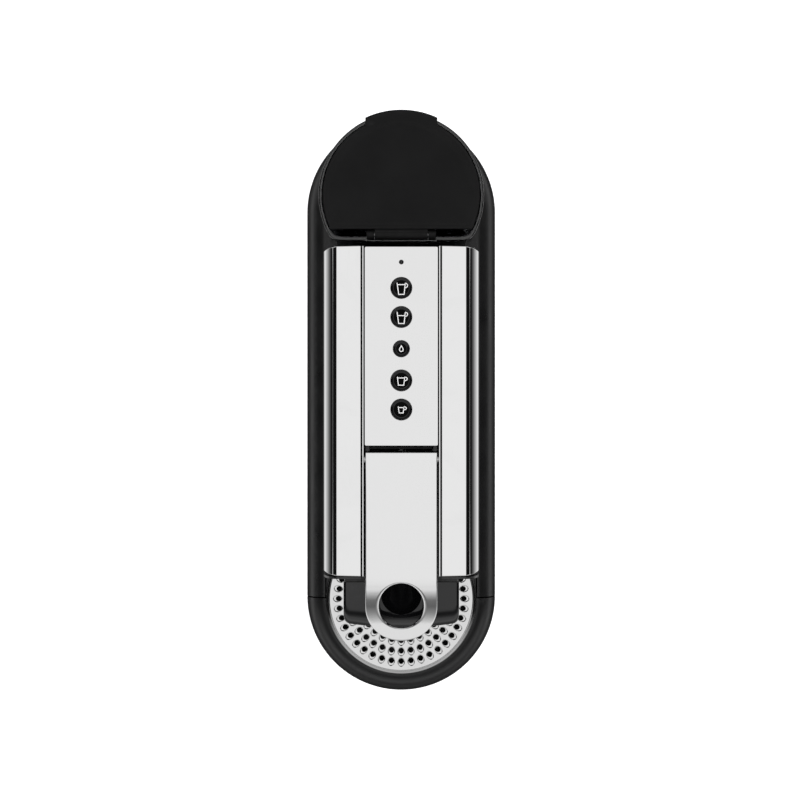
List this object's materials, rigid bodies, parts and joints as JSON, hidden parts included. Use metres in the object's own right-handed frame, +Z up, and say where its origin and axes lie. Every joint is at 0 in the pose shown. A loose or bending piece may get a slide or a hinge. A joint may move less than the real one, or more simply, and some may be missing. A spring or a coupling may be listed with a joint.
{
  "type": "pod coffee machine",
  "caption": "Narrow pod coffee machine with chromed sides, lift-up lever, push buttons, rear water tank, perforated cup grille and pull-out drip and pod bin.",
  "frame": {"origin": "on the table, under the middle of the base, midway between its front and rear ends", "axes": "+Z up, -Y towards the front with the cup grille and the lever's tip, +Y towards the water tank, +X to the right of someone who stands in front of the machine"},
  "size_m": [0.13, 0.3969, 0.272],
  "materials": {
    "black_plastic": "fine satin moulding, near black",
    "gloss_black": "polished black moulding",
    "chrome": "bright polished chrome plate",
    "satin_metal": "finely polished, very light brushed metal",
    "steel": "plain bright steel",
    "aluminium": "as cast and machined",
    "rubber": "soft matt black rubber",
    "silicone": "translucent milky silicone",
    "smoked_plastic": "clear grey smoked plastic",
    "circuit_board": "green lacquered board",
    "white_plastic": "natural white engineering plastic",
    "brass": "turned brass"
  },
  "bodies": {
    "machine": {"base_housing": "black_plastic", "base_plate": "black_plastic", "cord_gland": "rubber", "tank_connector": "black_plastic", "foot_front_left": "rubber", "foot_front_right": "rubber", "foot_rear_left": "rubber", "foot_rear_right": "rubber", "plate_screw_1": "steel", "plate_screw_2": "steel", "plate_screw_3": "steel", "plate_screw_4": "steel", "chassis": "black_plastic", "side_cover_left": "chrome", "side_cover_right": "chrome", "rail_left": "chrome", "rail_right": "chrome", "front_fascia": "black_plastic", "nose": "gloss_black", "coffee_spout": "black_plastic", "control_panel": "satin_metal", "control_board": "circuit_board", "keypad_mat": "silicone", "status_light": "white_plastic", "lever_pin": "steel", "brew_frame": "white_plastic", "outlet_block": "white_plastic", "coffee_channel": "silicone", "injector": "steel", "pump": "brass", "pump_coil": "steel", "pump_mount_lower": "rubber", "pump_mount_upper": "rubber", "heater_block": "aluminium", "power_board": "circuit_board", "flow_meter": "white_plastic", "hose_tank_to_meter": "silicone", "hose_meter_to_pump": "silicone", "hose_pump_to_heater": "silicone", "hose_heater_to_brew": "silicone"},
    "lever": {"lever": "satin_metal"},
    "cage": {"pod_cage": "aluminium", "cage_seal": "silicone"},
    "idler_left": {"idler_left": "white_plastic"},
    "idler_right": {"idler_right": "white_plastic"},
    "tank": {"water_tank": "smoked_plastic", "lid_pin": "steel", "valve_guide": "white_plastic", "valve_spring": "steel"},
    "lid": {"tank_lid": "black_plastic"},
    "valve": {"tank_valve": "white_plastic"},
    "drip_unit": {"drip_tub": "black_plastic", "pod_bin": "black_plastic"},
    "grille": {"cup_grille": "chrome"},
    "button_mug": {"button_mug": "gloss_black"},
    "button_tall_cup": {"button_tall_cup": "gloss_black"},
    "button_hot_water": {"button_hot_water": "gloss_black"},
    "button_cup": {"button_cup": "gloss_black"},
    "button_small_cup": {"button_small_cup": "gloss_black"}
  },
  "joints": [
    {"name": "lever_hinge", "type": "hinge", "parent": "machine", "child": "lever", "pos_m": [0, -0.0332, 0.2667], "axis": [-1, 0, 0], "range_deg": [0, 90]},
    {"name": "cage_slide", "type": "slide", "parent": "machine", "child": "cage", "axis": [0, 1, 0], "range_m": [0, 0.0302]},
    {"name": "idler_left_turn", "type": "hinge", "parent": "machine", "child": "idler_left", "pos_m": [0, -0.0332, 0.23996], "axis": [1, 0, 0], "range_deg": [0, 226]},
    {"name": "idler_right_turn", "type": "hinge", "parent": "machine", "child": "idler_right", "pos_m": [0, -0.0332, 0.23996], "axis": [1, 0, 0], "range_deg": [0, 226]},
    {"name": "button_mug_press", "type": "slide", "parent": "machine", "child": "button_mug", "axis": [0, 0, -1], "range_m": [0, 0.001], "stiffness_N_per_m": 900, "springref_m": -0.001},
    {"name": "button_tall_cup_press", "type": "slide", "parent": "machine", "child": "button_tall_cup", "axis": [0, 0, -1], "range_m": [0, 0.001], "stiffness_N_per_m": 900, "springref_m": -0.001},
    {"name": "button_hot_water_press", "type": "slide", "parent": "machine", "child": "button_hot_water", "axis": [0, 0, -1], "range_m": [0, 0.001], "stiffness_N_per_m": 900, "springref_m": -0.001},
    {"name": "button_cup_press", "type": "slide", "parent": "machine", "child": "button_cup", "axis": [0, 0, -1], "range_m": [0, 0.001], "stiffness_N_per_m": 900, "springref_m": -0.001},
    {"name": "button_small_cup_press", "type": "slide", "parent": "machine", "child": "button_small_cup", "axis": [0, 0, -1], "range_m": [0, 0.001], "stiffness_N_per_m": 900, "springref_m": -0.001},
    {"name": "tank_lift", "type": "slide", "parent": "machine", "child": "tank", "axis": [0, 0, 1], "range_m": [0, 0.12]},
    {"name": "lid_hinge", "type": "hinge", "parent": "tank", "child": "lid", "pos_m": [0, 0.104, 0.26], "axis": [1, 0, 0], "range_deg": [0, 100]},
    {"name": "valve_lift", "type": "slide", "parent": "tank", "child": "valve", "axis": [0, 0, 1], "range_m": [0, 0.002], "stiffness_N_per_m": 120, "springref_m": -0.006, "deforming": ["valve_spring"]},
    {"name": "drip_unit_slide", "type": "slide", "parent": "machine", "child": "drip_unit", "axis": [0, -1, 0], "range_m": [0, 0.13]},
    {"name": "grille_lift", "type": "slide", "parent": "drip_unit", "child": "grille", "axis": [0, 0, 1], "range_m": [0, 0.035]}
  ],
  "couplings": [
    {"joint": "cage_slide", "follows": "lever_hinge", "m_per_rad": 0.019099},
    {"joint": "idler_left_turn", "follows": "lever_hinge", "ratio": 2.5},
    {"joint": "idler_right_turn", "follows": "lever_hinge", "ratio": 2.5}
  ]
}
